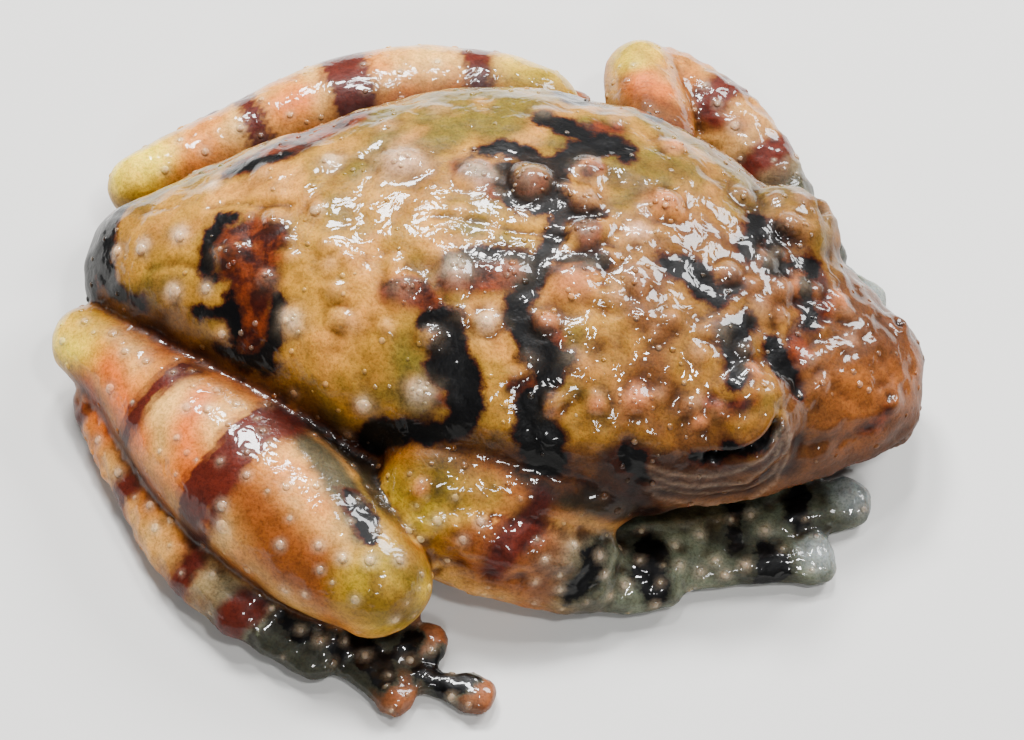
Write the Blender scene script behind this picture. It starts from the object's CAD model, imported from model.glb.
# %% [markdown]
# # An African wart frog, crouched flat with its eyes closed
# The frog lies on its belly with every limb pressed to its sides. Its wet skin is ochre and orange, with
# rough black bars, glassy warts and small whitish pimples. The solids give its size and pose. This script
# makes the looks: one skin over all the flesh, the small warts, the eyes, the light and the camera.

# %% Open the frame
import math
import random

import bpy
import numpy as np
from mathutils import Matrix, Vector, noise
from mathutils.bvhtree import BVHTree
from mathutils.kdtree import KDTree


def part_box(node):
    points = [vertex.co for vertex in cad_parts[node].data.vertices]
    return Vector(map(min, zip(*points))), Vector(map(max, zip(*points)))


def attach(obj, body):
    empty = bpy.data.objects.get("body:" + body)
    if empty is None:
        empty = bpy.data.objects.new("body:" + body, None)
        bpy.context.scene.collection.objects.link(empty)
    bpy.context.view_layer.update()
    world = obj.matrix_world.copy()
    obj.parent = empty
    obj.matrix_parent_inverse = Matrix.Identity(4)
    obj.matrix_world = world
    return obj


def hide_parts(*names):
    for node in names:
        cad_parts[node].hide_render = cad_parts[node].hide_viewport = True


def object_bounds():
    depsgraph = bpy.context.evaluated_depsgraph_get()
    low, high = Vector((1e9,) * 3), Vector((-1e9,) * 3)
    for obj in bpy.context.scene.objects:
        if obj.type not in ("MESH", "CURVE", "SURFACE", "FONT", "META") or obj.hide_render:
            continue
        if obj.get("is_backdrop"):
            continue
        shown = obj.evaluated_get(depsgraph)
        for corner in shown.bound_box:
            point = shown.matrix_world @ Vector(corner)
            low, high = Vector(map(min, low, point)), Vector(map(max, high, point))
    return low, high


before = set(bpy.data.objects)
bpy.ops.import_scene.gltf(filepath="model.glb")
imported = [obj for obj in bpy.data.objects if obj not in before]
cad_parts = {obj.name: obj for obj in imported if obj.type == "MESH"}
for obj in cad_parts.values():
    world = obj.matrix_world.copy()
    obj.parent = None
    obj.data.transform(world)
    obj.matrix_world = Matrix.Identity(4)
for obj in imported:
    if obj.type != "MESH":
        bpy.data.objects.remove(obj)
cad_low, cad_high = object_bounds()
print("solids:", len(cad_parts), "size in mm:", [round(1000 * s, 1) for s in cad_high - cad_low])

# %% [markdown]
# The frog is modelled in millimetres on its own axes: the snout towards +X, its left side towards +Y and
# the floor at 0. One known point, the middle of the right eye, says how far the frame is shifted from them.

# %% Units and the shift to the frame
MM = 0.001
SEED = 7
# The sign of each side along Y.
RIGHT = -1
LEFT = 1
SIDES = ((RIGHT, "right"), (LEFT, "left"))
EYE = {RIGHT: (10.2, -4.3, 6.1), LEFT: (10.7, 4.1, 6.1)}
eye_low, eye_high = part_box("eye_right")
SHIFT = np.array((eye_low + eye_high) / 2) - np.array(EYE[RIGHT]) * MM
random.seed(SEED)
print("shift in mm:", np.round(SHIFT / MM, 3))


def placed(points):
    """Points in the frog's millimetres as metres in the frame."""
    return np.asarray(points, float) * MM + SHIFT


# %% [markdown]
# The view looks down on the frog's right side. A long lens from 12 cm keeps the near and the far limbs
# almost in scale, as a close-up does. The same numbers turn a place in the picture into a ray, which is
# how markings and warts are set on the skin later on.

# %% Camera
PICTURE = (1024, 740)
SENSOR = 36.0
VIEW_TURN = math.radians(10)
VIEW_HEIGHT = math.radians(58)
VIEW_AWAY = 120.0
VIEW_SCALE = 24.4
VIEW_TARGET = Vector((0.0, 0.0, 5.0))
TARGET_PIXEL = (505.5, 303.5)

view_right = Vector((math.cos(VIEW_TURN), math.sin(VIEW_TURN), 0))
view_back = Vector(
    (
        math.sin(VIEW_TURN) * math.cos(VIEW_HEIGHT),
        -math.cos(VIEW_TURN) * math.cos(VIEW_HEIGHT),
        math.sin(VIEW_HEIGHT),
    )
)
view_up = view_back.cross(view_right)
view_focus = VIEW_SCALE * VIEW_AWAY
aside = (TARGET_PIXEL[0] - PICTURE[0] / 2) / view_focus
below = (TARGET_PIXEL[1] - PICTURE[1] / 2) / view_focus
view_place = VIEW_TARGET + VIEW_AWAY * (view_back - view_right * aside + view_up * below)

camera = bpy.data.objects.new("camera", bpy.data.cameras.new("camera"))
bpy.context.scene.collection.objects.link(camera)
bpy.context.scene.camera = camera
camera.location = placed(view_place)
camera.rotation_euler = Matrix((view_right, view_up, view_back)).transposed().to_euler()
camera.data.sensor_width = SENSOR
camera.data.lens = view_focus / PICTURE[0] * SENSOR
camera.data.clip_start = MM
print("lens:", round(camera.data.lens, 1), "mm")

# %% [markdown]
# The plain forms repeat the rows of the solids: sections of the trunk from vent to snout, and rows along
# each limb. A few sections with a smooth curve through them are easier to change than a dense table.

# %% Rows of the trunk
NECK_X = 7.4
BACK_POWER = 0.92
BELLY_POWER = 0.72
# Columns: x, sideways centre, half width, height of the widest line, top, bottom.
TRUNK = (
    (-17.9, 0.0, 0.0, 3.4, 3.4, 3.4),
    (-17.5, 0.0, 1.5, 3.4, 4.9, 2.0),
    (-16.6, 0.0, 2.4, 3.5, 6.0, 1.1),
    (-14.8, 0.0, 3.5, 3.6, 7.2, 0.4),
    (-12.3, 0.1, 4.9, 3.8, 8.4, -0.2),
    (-9.0, 0.4, 6.6, 4.1, 9.5, -0.4),
    (-5.0, 0.8, 8.4, 4.4, 10.3, -0.4),
    (-1.0, 0.9, 9.2, 4.6, 10.6, -0.4),
    (3.0, 0.8, 9.2, 4.6, 10.4, -0.4),
    (6.5, 0.5, 8.6, 4.5, 10.0, 0.4),
    (9.5, 0.1, 7.3, 4.2, 9.1, 1.7),
    (12.2, -0.1, 5.7, 3.9, 7.7, 1.8),
    (14.6, -0.2, 4.1, 3.6, 6.4, 1.7),
    (16.2, -0.2, 2.9, 3.4, 5.4, 1.7),
    (17.1, -0.1, 1.6, 3.3, 4.6, 2.1),
    (17.4, -0.1, 0.0, 3.3, 3.3, 3.3),
)

# %% Rows of the limbs
# Columns: x, y, z, half width, half height. Each pair is the right limb and the left limb.
LIMBS = {
    "thigh": (
        (
            (-13.6, -2.2, 2.1, 1.7, 2.0),
            (-10.6, -4.0, 2.2, 2.1, 2.3),
            (-7.6, -6.0, 2.3, 2.3, 2.4),
            (-4.8, -8.6, 2.5, 2.1, 2.3),
            (-3.2, -10.4, 2.8, 1.9, 2.1),
        ),
        (
            (-13.6, 2.9, 2.1, 1.7, 2.0),
            (-10.4, 4.6, 2.2, 2.1, 2.3),
            (-7.2, 6.5, 2.3, 2.3, 2.4),
            (-4.0, 8.6, 2.5, 2.1, 2.3),
            (-1.8, 9.8, 2.8, 1.8, 2.1),
        ),
    ),
    "shank": (
        (
            (-16.9, -3.6, 2.9, 1.6, 1.6),
            (-14.4, -4.9, 3.0, 2.2, 2.2),
            (-11.2, -7.2, 3.2, 3.1, 2.8),
            (-8.0, -9.4, 3.4, 3.4, 3.0),
            (-5.1, -11.4, 3.4, 3.0, 2.7),
            (-3.0, -12.6, 3.3, 2.3, 2.3),
        ),
        (
            (-16.6, 4.6, 2.9, 1.5, 1.6),
            (-13.8, 6.3, 3.0, 1.9, 2.0),
            (-10.5, 8.4, 3.2, 2.4, 2.5),
            (-7.0, 10.1, 3.4, 2.6, 2.7),
            (-3.4, 11.1, 3.3, 2.4, 2.5),
            (-0.9, 11.3, 3.2, 2.0, 2.2),
        ),
    ),
    "tarsus": (
        (
            (-16.0, -5.6, 1.6, 1.3, 1.2),
            (-13.6, -8.4, 1.4, 1.5, 1.3),
            (-10.7, -11.6, 1.3, 1.6, 1.4),
            (-8.0, -13.6, 1.2, 1.5, 1.3),
        ),
        (
            (-16.4, 6.4, 1.6, 1.2, 1.2),
            (-13.6, 9.0, 1.4, 1.4, 1.3),
            (-10.4, 11.3, 1.3, 1.5, 1.4),
            (-7.6, 12.8, 1.2, 1.4, 1.3),
        ),
    ),
    "upper_arm": (
        (
            (5.0, -7.4, 3.8, 1.7, 1.8),
            (1.6, -8.1, 4.2, 1.8, 1.9),
            (-1.4, -8.3, 4.4, 2.1, 2.1),
        ),
        (
            (5.2, 8.2, 4.0, 1.8, 1.8),
            (4.4, 11.1, 3.8, 1.8, 1.8),
            (3.6, 13.6, 3.4, 1.7, 1.7),
        ),
    ),
    "forearm": (
        (
            (-1.2, -9.6, 2.4, 1.8, 1.8),
            (1.4, -9.8, 2.1, 2.0, 1.8),
            (3.6, -10.0, 1.7, 1.8, 1.6),
            (5.0, -10.0, 1.4, 1.6, 1.4),
        ),
        (
            (4.7, 14.1, 2.6, 1.6, 1.7),
            (6.9, 12.8, 2.4, 1.9, 1.9),
            (9.2, 10.9, 2.0, 1.7, 1.7),
            (10.4, 9.6, 1.6, 1.5, 1.5),
        ),
    ),
    "hand": (
        ((6.0, -9.6, 0.95, 1.6, 1.0), (8.0, -8.8, 0.85, 1.8, 0.9)),
        ((11.2, 8.4, 0.95, 1.6, 1.0), (12.0, 7.0, 0.85, 1.8, 0.9)),
    ),
    "foot": (
        ((-6.9, -14.0, 0.9, 1.4, 0.95), (-4.6, -14.6, 0.8, 1.6, 0.85)),
        ((-6.4, 13.3, 0.9, 1.4, 0.95), (-4.0, 13.7, 0.8, 1.6, 0.85)),
    ),
}
# Loose skin that fills the fold of the right arm, so that it looks like one thick limb from above.
ARM_FILL = (
    (-1.6, -9.0, 3.7, 2.0, 1.9),
    (1.0, -9.5, 3.4, 1.9, 1.7),
    (3.2, -9.6, 2.9, 1.7, 1.5),
    (5.0, -9.3, 2.2, 1.5, 1.3),
)
# The loose web between the right hand and the chin.
HAND_FILL = (
    (5.0, -8.2, 0.9, 1.2, 0.9),
    (7.2, -7.4, 0.8, 1.2, 0.8),
    (9.4, -6.4, 0.75, 1.0, 0.72),
    (11.2, -5.6, 0.7, 0.9, 0.68),
)
# Where the middle of each finger's and toe's disc lies.
TIPS = {
    "hand": (
        ((14.2, -7.1), (15.2, -4.2), (12.9, -3.2), (10.4, -4.0)),
        ((14.8, 5.4), (13.8, 3.2), (11.4, 2.9), (9.4, 4.4)),
    ),
    "foot": (
        ((-1.4, -16.2), (1.8, -15.5), (-0.5, -13.6), (-1.9, -12.5), (-3.7, -12.3)),
        ((-1.4, 14.8), (0.9, 13.8), (-0.2, 12.5), (-1.8, 11.6), (-3.4, 11.6)),
    ),
}
# Half width and half height of a digit and of its disc, and how far the web reaches along it.
DIGIT = {"hand": ((0.95, 0.75), (1.15, 0.72), 0.6), "foot": ((0.6, 0.55), (0.85, 0.6), 0.8)}
DIGIT_REACH = (0.0, 0.4, 0.74, 0.9, 1.0)
WEB_HIGH = 0.5
WEB_DIP = 0.6
SUNK = 0.1

# %% [markdown]
# A body like this could be sculpted, or grown from a cage with Subdivision Surface. Lofted rings are
# chosen, because each form keeps a clear line along its middle, which the bands of the legs follow later.
# All forms are closed and pass through one another. A voxel remesh then makes one skin of them.

# %% Smooth rows and lofted rings


def smooth_rows(rows, count):
    """A smooth curve through all the rows, so that a table of few sections is enough."""
    rows = np.array(rows, float)
    ends = np.array([2 * rows[0] - rows[1], *rows, 2 * rows[-1] - rows[-2]])
    at = np.linspace(0, len(rows) - 1, count)
    first = np.minimum(at.astype(int), len(rows) - 2)
    t = (at - first)[:, None]
    a, b, c, d = (ends[first + k] for k in range(4))
    return 0.5 * (
        2 * b
        + (c - a) * t
        + (2 * a - 5 * b + 4 * c - d) * t**2
        + (3 * b - a - 3 * c + d) * t**3
    )


def bent(value, power):
    """A power that keeps the sign, which makes a round section fuller or flatter."""
    return np.sign(value) * np.abs(value) ** power


def lofted(rings, start, end):
    """The points and faces of a closed tube over rings, with a pole at each end."""
    rows, sides = len(rings), len(rings[0])
    points = [point for ring in rings for point in ring] + [start, end]
    faces = []
    for i in range(sides):
        j = (i + 1) % sides
        for row in range(rows - 1):
            here, there = row * sides, (row + 1) * sides
            faces.append((here + i, here + j, there + j, there + i))
        faces.append((j, i, rows * sides))
        faces.append((there + i, there + j, rows * sides + 1))
    return np.array(points, float), faces


# %% The trunk and the limbs
TRUNK_RINGS = 130
TRUNK_SIDES = 110
LIMB_STEP = 0.35
LIMB_SIDES = 36
ROUND_END = np.radians((25, 45, 63, 78))


def trunk():
    """Head and body in one, without a neck, as rings across the long axis."""
    rows = smooth_rows(TRUNK, TRUNK_RINGS)
    angle = np.linspace(0, 2 * math.pi, TRUNK_SIDES, endpoint=False)
    upper = np.sin(angle) > 0
    rings = []
    for x, middle, half, wide, top, bottom in rows[1:-1]:
        y = middle + half * bent(np.cos(angle), BACK_POWER)
        rise = np.where(upper, top - wide, wide - bottom)
        z = wide + rise * np.where(
            upper, bent(np.sin(angle), BACK_POWER), bent(np.sin(angle), BELLY_POWER)
        )
        rings.append(np.column_stack((np.full(TRUNK_SIDES, x), y, z)))
    return lofted(rings, *(rows[k, [0, 1, 3]] for k in (0, -1)))


def limb(rows):
    """A tube with rounded ends through rows of x, y, z, half width and half height."""
    rows = np.array(rows, float)
    length = np.linalg.norm(np.diff(rows[:, :3], axis=0), axis=1).sum()
    rows = smooth_rows(rows, max(int(length / LIMB_STEP), 6))
    path = rows[:, :3]
    along = np.gradient(path, axis=0)
    along /= np.linalg.norm(along, axis=1)[:, None]
    stops = [(0, -math.sin(a), math.cos(a)) for a in reversed(ROUND_END)]
    stops += [(i, 0.0, 1.0) for i in range(len(rows))]
    stops += [(len(rows) - 1, math.sin(a), math.cos(a)) for a in ROUND_END]
    angle = np.linspace(0, 2 * math.pi, LIMB_SIDES, endpoint=False)[:, None]
    rings = []
    for i, reach, scale in stops:
        side = np.cross(along[i], (0, 0, 1))
        side /= np.linalg.norm(side)
        rise = np.cross(side, along[i])
        middle = path[i] + along[i] * reach * rows[i, 4]
        half, high = rows[i, 3:] * scale
        rings.append(middle + side * half * np.cos(angle) + rise * high * np.sin(angle))
    start = path[0] - along[0] * rows[0, 4]
    end = path[-1] + along[-1] * rows[-1, 4]
    return lofted(rings, start, end)


def ball(centre, radius):
    """A round form, for the lids over an eye and the rim of a nostril."""
    rows = np.linspace(-math.pi / 2, math.pi / 2, LIMB_SIDES // 2)[1:-1]
    angle = np.linspace(0, 2 * math.pi, LIMB_SIDES, endpoint=False)
    rings = []
    for row in rows:
        across, high = math.cos(row), np.full(LIMB_SIDES, math.sin(row))
        ring = np.column_stack((np.cos(angle) * across, np.sin(angle) * across, high))
        rings.append(ring * radius + centre)
    pole = np.array((0, 0, radius))
    return lofted(rings, centre - pole, centre + pole)


# %% [markdown]
# Fingers and toes end in round, glassy discs and are joined by a fleshy web at their roots. Each digit is a
# limb of its own that lies on the floor, and each web is a thin plate with a hollow free edge.

# %% Digits and webs


def digit_rows(root, tip, size, disc):
    """The rows of a finger or toe, from the middle of the hand or foot to its disc."""
    sizes = (size, size, size, disc, disc)
    return [
        (*(np.array(root[:2]) + (np.array(tip) - root[:2]) * reach), high - SUNK, half, high)
        for reach, (half, high) in zip(DIGIT_REACH, sizes)
    ]


def web(root, tip, next_tip, reach):
    """A thin plate between two digits, with a hollow free edge."""
    root = np.array(root[:2], float)
    edge = [root + (np.array(end) - root) * reach for end in (tip, next_tip)]
    corners = [root, edge[0], root + (sum(edge) / 2 - root) * WEB_DIP, edge[1]]
    points = [(*corner, z) for z in (-SUNK, WEB_HIGH) for corner in corners]
    faces = [(2, 1, 0), (3, 2, 0), (4, 5, 6), (4, 6, 7)]
    faces += [(i, (i + 1) % 4, (i + 1) % 4 + 4, i + 4) for i in range(4)]
    return np.array(points, float), faces


# %% Gather the plain forms
LID_RADIUS = 2.45
NOSTRIL_X = 16.0
NOSTRIL_ANGLE = 56
NOSTRIL_RIM = 0.45
NOSTRIL_SUNK = 0.12
DENSE_ROWS = 400
PATH_ROWS = 60
dense_trunk = smooth_rows(TRUNK, DENSE_ROWS)


def on_trunk(x, degrees, side):
    """A point on the trunk's skin at x, this many degrees above its widest line."""
    middle, half, wide, top, bottom = (
        float(np.interp(x, dense_trunk[:, 0], dense_trunk[:, k])) for k in range(1, 6)
    )
    angle = math.radians(degrees)
    rise = top - wide if angle > 0 else wide - bottom
    power = BACK_POWER if angle > 0 else BELLY_POWER
    y = middle + side * half * bent(math.cos(angle), BACK_POWER)
    return np.array((x, y, wide + rise * bent(math.sin(angle), power)))


forms = [("body", trunk())]
paths = {}
for k, (side, word) in enumerate(SIDES):
    forms.append(("body", ball(np.array(EYE[side]), LID_RADIUS)))
    nostril = on_trunk(NOSTRIL_X, NOSTRIL_ANGLE, side) - (0, 0, NOSTRIL_SUNK)
    forms.append(("body", ball(nostril, NOSTRIL_RIM)))
    for part, pair in LIMBS.items():
        name = f"{part}_{word}"
        forms.append((name, limb(pair[k])))
        paths[name] = smooth_rows(pair[k], PATH_ROWS)[:, :3]
        if part in TIPS:
            root = pair[k][-1]
            size, disc, reach = DIGIT[part]
            tips = TIPS[part][k]
            forms += [(name, limb(digit_rows(root, tip, size, disc))) for tip in tips]
            forms += [(name, web(root, *two, reach)) for two in zip(tips, tips[1:])]
forms.append(("forearm_right", limb(ARM_FILL)))
forms.append(("hand_right", limb(HAND_FILL)))
print("plain forms:", len(forms), "with", sum(len(form[0]) for _, form in forms), "points")

# %% [markdown]
# The forms are joined in one mesh and a Remesh modifier in voxel mode turns them into one closed skin.
# A Boolean union would keep long thin faces along each joint. Voxels give even faces, which the warts and
# folds need. Smaller voxels show finer folds, and this size keeps the skin just under 200,000 triangles.

# %% One skin from all the forms
VOXEL = 0.1846


def joined(pieces):
    """One mesh from all the forms, which still pass through one another."""
    points = np.concatenate([form[0] for _, form in pieces])
    faces = []
    start = 0
    for _, (more, polygons) in pieces:
        faces += [tuple(start + i for i in polygon) for polygon in polygons]
        start += len(more)
    mesh = bpy.data.meshes.new("forms")
    mesh.from_pydata(points.tolist(), [], faces)
    return mesh


def evaluated(obj):
    """The object's mesh with its modifiers applied."""
    graph = bpy.context.evaluated_depsgraph_get()
    made = bpy.data.meshes.new_from_object(obj.evaluated_get(graph))
    obj.modifiers.clear()
    return made


def triangles(made):
    return sum(len(polygon.vertices) - 2 for polygon in made.polygons)


skin = bpy.data.objects.new("frog_skin", joined(forms))
bpy.context.scene.collection.objects.link(skin)
voxels = skin.modifiers.new("voxels", "REMESH")
voxels.mode = "VOXEL"
voxels.voxel_size = VOXEL
skin.data = evaluated(skin)
print("skin:", len(skin.data.vertices), "points,", triangles(skin.data), "triangles")

# %% [markdown]
# From here on the skin is handled as arrays of points, which is quick for a hundred thousand of them.
# Whatever lies below the floor is flattened onto it, so that belly, hands and feet rest on one level.

# %% Skin as arrays
mesh = skin.data
count = len(mesh.vertices)


def read(collection, key, width, kind=float):
    """A value of each point, edge or normal as an array with one row for each."""
    values = np.empty(len(collection) * width, kind)
    collection.foreach_get(key, values)
    return values.reshape(-1, width) if width > 1 else values


points = read(mesh.vertices, "co", 3)
edges = read(mesh.edges, "vertices", 2, int)
faces = [tuple(polygon.vertices) for polygon in mesh.polygons]
neighbours = np.bincount(edges.ravel(), minlength=count)


def averaged(values):
    """The mean of each point's neighbours, for any value kept at the points."""
    total = np.zeros_like(values)
    np.add.at(total, edges[:, 0], values[edges[:, 1]])
    np.add.at(total, edges[:, 1], values[edges[:, 0]])
    return total / (neighbours[:, None] if values.ndim > 1 else neighbours)


def smoothed(values, rounds, share=0.5):
    """Moves each value towards its neighbours' mean, as many rounds as asked."""
    for _ in range(rounds):
        values = values + (averaged(values) - values) * share
    return values


def fade(values, low, high):
    """0 at low and 1 at high, smooth in between."""
    t = np.clip((values - low) / (high - low), 0, 1)
    return t * t * (3 - 2 * t)


def normals_of(places):
    """The skin's normals with its points at the given places."""
    mesh.vertices.foreach_set("co", places.ravel())
    mesh.update()
    return read(mesh.vertex_normals, "vector", 3)


VOXEL_ROUNDS = 4
points = smoothed(points, VOXEL_ROUNDS)
points[:, 2] = np.maximum(points[:, 2], 0.0)
normals = normals_of(points)
print("on the floor:", int((points[:, 2] == 0).sum()), "points of the skin")

# %% [markdown]
# Each point of the skin has to know which part of the frog it belongs to, so that a dark bar of the back
# doesn't run onto the leg beside it. The nearest point of the plain forms says so. On a limb, the nearest
# place on its middle line also says how far along the limb the point lies.

# %% Parts of the skin
part_names = sorted({name for name, _ in forms})
guide = KDTree(sum(len(form[0]) for _, form in forms))
owner = []
for name, (places, _) in forms:
    for place in places:
        guide.insert(place, len(owner))
        owner.append(part_names.index(name))
guide.balance()
part_of = np.array([owner[guide.find(point)[1]] for point in points])


def is_part(*words):
    """Marks the points that belong to parts whose names start with one of the words."""
    chosen = [k for k, name in enumerate(part_names) if name.startswith(words)]
    return np.isin(part_of, chosen)


def along_limb(name, places):
    """Millimetres along a limb's middle line, from its root, for places on its skin."""
    path = paths[name]
    lengths = np.concatenate(([0], np.cumsum(np.linalg.norm(np.diff(path, axis=0), axis=1))))
    away = np.linalg.norm(places[:, None] - path[None], axis=2)
    return lengths[away.argmin(axis=1)]


along = np.zeros(count)
for name in paths:
    mine = np.flatnonzero(part_of == part_names.index(name))
    along[mine] = along_limb(name, points[mine])
print("points by part:", {n: int((part_of == k).sum()) for k, n in enumerate(part_names)})

# %% [markdown]
# Markings, warts and folds are placed by where they are seen. A ray goes from the camera through a named
# place of the picture and meets the skin. What is drawn there stays on the skin from every side.

# %% From the picture onto the skin
skin_tree = BVHTree.FromPolygons(points.tolist(), faces)
# The step along a stroke, in pixels.
STROKE_STEP = 4.0


def seen(x, y):
    """The place on the skin under a pixel and the face that it lies on, or None off the frog."""
    across = (x - PICTURE[0] / 2) / view_focus
    down = (y - PICTURE[1] / 2) / view_focus
    way = (view_right * across - view_up * down - view_back).normalized()
    place, _, face, _ = skin_tree.ray_cast(view_place, way)
    return None if place is None else (np.array(place), face)


def traced(stroke):
    """Close places along a stroke of pixels, each with its radius in millimetres, and their parts."""
    stroke = np.array(stroke, float).reshape(-1, 3)
    lengths = np.concatenate(([0], np.cumsum(np.linalg.norm(np.diff(stroke[:, :2], axis=0), axis=1))))
    steps = np.linspace(0, lengths[-1], max(int(lengths[-1] / STROKE_STEP), 1) + 1)
    spots = []
    owners = []
    for x, y, radius in zip(*(np.interp(steps, lengths, stroke[:, k]) for k in range(3))):
        hit = seen(x, y)
        if hit:
            spots.append((*hit[0], radius / VIEW_SCALE))
            owners.append(part_of[faces[hit[1]][0]])
    return np.array(spots).reshape(-1, 4), np.array(owners, int)


# %% Strokes as a depth on the skin
# The depth of points that no stroke comes near, and how far round a stroke depths are worked out.
FAR_OUT = -9.0
MARGIN = 1.2
# A stroke marks a part of the frog only where it has this share of the stroke's length.
LEAST_SHARE = 0.15


def stroke_depth(spots, chosen):
    """How deep each chosen point lies inside a row of round spots, in millimetres."""
    depth = np.full(count, FAR_OUT)
    reach = spots[:, 3].max() + MARGIN
    low = spots[:, :3].min(axis=0) - reach
    high = spots[:, :3].max(axis=0) + reach
    near = np.flatnonzero(chosen & (points > low).all(axis=1) & (points < high).all(axis=1))
    away = np.linalg.norm(points[near][:, None] - spots[None, :, :3], axis=2)
    depth[near] = (spots[None, :, 3] - away).max(axis=1)
    return depth


def drawn(strokes, among=True):
    """The depth inside any of the strokes, each kept to the parts that it mostly lies on."""
    depth = np.full(count, FAR_OUT)
    for stroke in strokes:
        spots, owners = traced(stroke)
        if len(spots):
            shares = np.bincount(owners, minlength=len(part_names)) / len(owners)
            chosen = np.isin(part_of, np.flatnonzero(shares >= LEAST_SHARE)) & among
            depth = np.maximum(depth, stroke_depth(spots, chosen))
    return depth


# %% [markdown]
# ## Warts, folds and the face
# The big warts of the back and the crown are domes up to two millimetres wide. They are raised in the
# skin itself, so that they flow out of it. A kind says which are salmon, orange, whitish or glassy brown.

# %% The big warts
# On the back: x, y and radius in millimetres, and the kind of wart.
BACK_WARTS = (
    (-4.7, 2.6, 1.0, "salmon"),
    (-3.9, 6.0, 0.5, "plain"),
    (-5.7, 4.8, 0.45, "plain"),
    (0.6, 2.3, 0.8, "glass"),
    (-1.6, 2.4, 0.75, "salmon"),
    (2.7, 3.6, 0.65, "orange"),
    (2.9, 1.8, 0.55, "glass"),
    (6.0, 2.5, 0.75, "orange"),
    (5.9, 6.2, 0.55, "orange"),
    (3.2, 0.3, 0.75, "glass"),
    (3.0, -1.9, 0.95, "orange"),
    (0.7, -1.9, 0.65, "orange"),
    (-1.6, -2.2, 0.65, "salmon"),
    (-3.6, -3.2, 0.7, "orange"),
    (0.0, -4.1, 0.5, "white"),
    (-2.1, -4.9, 0.45, "plain"),
    (2.3, -3.7, 0.5, "orange"),
    (4.7, -2.2, 0.5, "plain"),
    (-4.4, -7.0, 0.4, "white"),
    (-2.2, -6.7, 0.58, "white"),
    (3.0, -6.4, 0.4, "plain"),
    (4.7, -6.2, 0.4, "orange"),
    (6.1, -5.8, 0.6, "orange"),
    (3.6, -4.9, 0.5, "plain"),
    (-16.0, -1.1, 0.3, "plain"),
    (-14.7, -1.2, 0.35, "white"),
    (-13.2, -0.9, 0.4, "white"),
    (-13.0, -3.1, 0.4, "white"),
    (-10.9, -1.9, 0.7, "orange"),
    (-9.4, -0.5, 0.6, "plain"),
    (-9.1, -3.0, 0.45, "salmon"),
    (-7.8, -4.5, 0.55, "white"),
    (-10.7, -4.6, 0.35, "plain"),
    (5.5, -1.1, 0.6, "plain"),
    (5.2, 0.9, 0.5, "salmon"),
    (-6.6, -2.4, 0.4, "plain"),
    (-5.4, -4.6, 0.45, "plain"),
    (-7.6, 2.6, 0.4, "white"),
    (-7.7, 0.2, 0.35, "plain"),
    (-1.9, 0.4, 0.4, "plain"),
    (-10.4, 2.0, 0.45, "plain"),
    (-12.4, 1.6, 0.35, "white"),
    (0.4, 6.6, 0.5, "plain"),
    (3.4, 7.0, 0.45, "plain"),
)
CROWN_WARTS = (
    (10.9, 3.6, 0.5, "glass"),
    (11.3, 5.2, 0.4, "plain"),
    (10.3, 1.6, 0.5, "plain"),
    (9.0, 4.6, 0.45, "glass"),
    (8.9, 0.2, 0.5, "glass"),
    (8.9, -2.4, 0.5, "plain"),
    (10.4, -0.9, 0.5, "plain"),
    (11.8, 1.1, 0.45, "orange"),
    (13.4, 1.3, 0.4, "orange"),
    (14.1, -0.4, 0.35, "plain"),
    (12.6, -2.0, 0.4, "plain"),
    (10.4, -3.6, 0.45, "orange"),
    (8.5, -5.3, 0.45, "plain"),
)
# The height of each kind in radii, and its share of whitish, orange and glassy brown at the top.
WART_KINDS = {
    "plain": (0.26, 0.1, 0.15, 0.0),
    "salmon": (0.36, 0.4, 0.5, 0.0),
    "orange": (0.38, 0.1, 0.75, 0.0),
    "white": (0.28, 0.55, 0.1, 0.0),
    "glass": (0.66, 0.1, 0.15, 0.5),
    "clear": (0.42, 0.06, 0.1, 0.12),
}
# Clear granules that show in the picture: x, y and radius in pixels.
CLEAR_WARTS = (
    (335, 291, 11), (339, 318, 11), (432, 337, 11), (386, 328, 8), (462, 315, 9), (488, 322, 11),
    (458, 285, 12), (412, 283, 8), (553, 402, 9), (564, 396, 7), (596, 400, 11), (545, 322, 11),
    (528, 362, 10), (515, 374, 8), (465, 180, 10), (497, 192, 9), (566, 190, 10), (586, 205, 9),
    (566, 250, 9), (608, 256, 10), (600, 297, 9), (640, 290, 8), (622, 240, 9), (799, 226, 13),
    (774, 196, 9), (781, 252, 9), (783, 288, 12), (752, 284, 9), (783, 316, 9), (816, 290, 8),
    (848, 312, 8), (745, 350, 8), (700, 352, 11), (716, 410, 9), (690, 408, 8), (660, 395, 9),
    (822, 385, 8), (650, 488, 8), (648, 506, 7), (706, 330, 8), (672, 318, 9), (655, 335, 8),
    (240, 250, 7), (262, 278, 7), (285, 240, 7), (272, 222, 8), (315, 210, 7), (352, 260, 8),
    (393, 262, 8), (343, 255, 7), (325, 245, 8), (290, 258, 7), (420, 490, 10), (205, 527, 8),
)
# The small orange crater of the elbow and the ones beside the mid bar: x, y and radius in pixels.
ORANGE_WARTS = ((421, 488, 9), (668, 206, 16), (552, 412, 9), (590, 268, 11), (700, 420, 8))
# A dome's foot, the ring of sunk skin round it and the reach of its colour, all in radii of the wart.
WART_ROOT = 1.25
WART_MOAT = 0.035
WART_MOAT_AWAY = 1.15
WART_MOAT_HALF = 0.22
WART_COLOUR = 0.75
# Noise makes a wart's outline uneven: its share, its waves in each radius and how far out it acts.
WART_WARP = 0.3
WART_WAVES = 1.1
WART_REACH = 1.8
# Glassy kinds are full domes, and the others are narrower towards the top.
FULL_DOME = 1.1
SOFT_DOME = 1.8
# The warts of the tables are found from this height straight down.
ABOVE_ALL = 60.0

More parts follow.
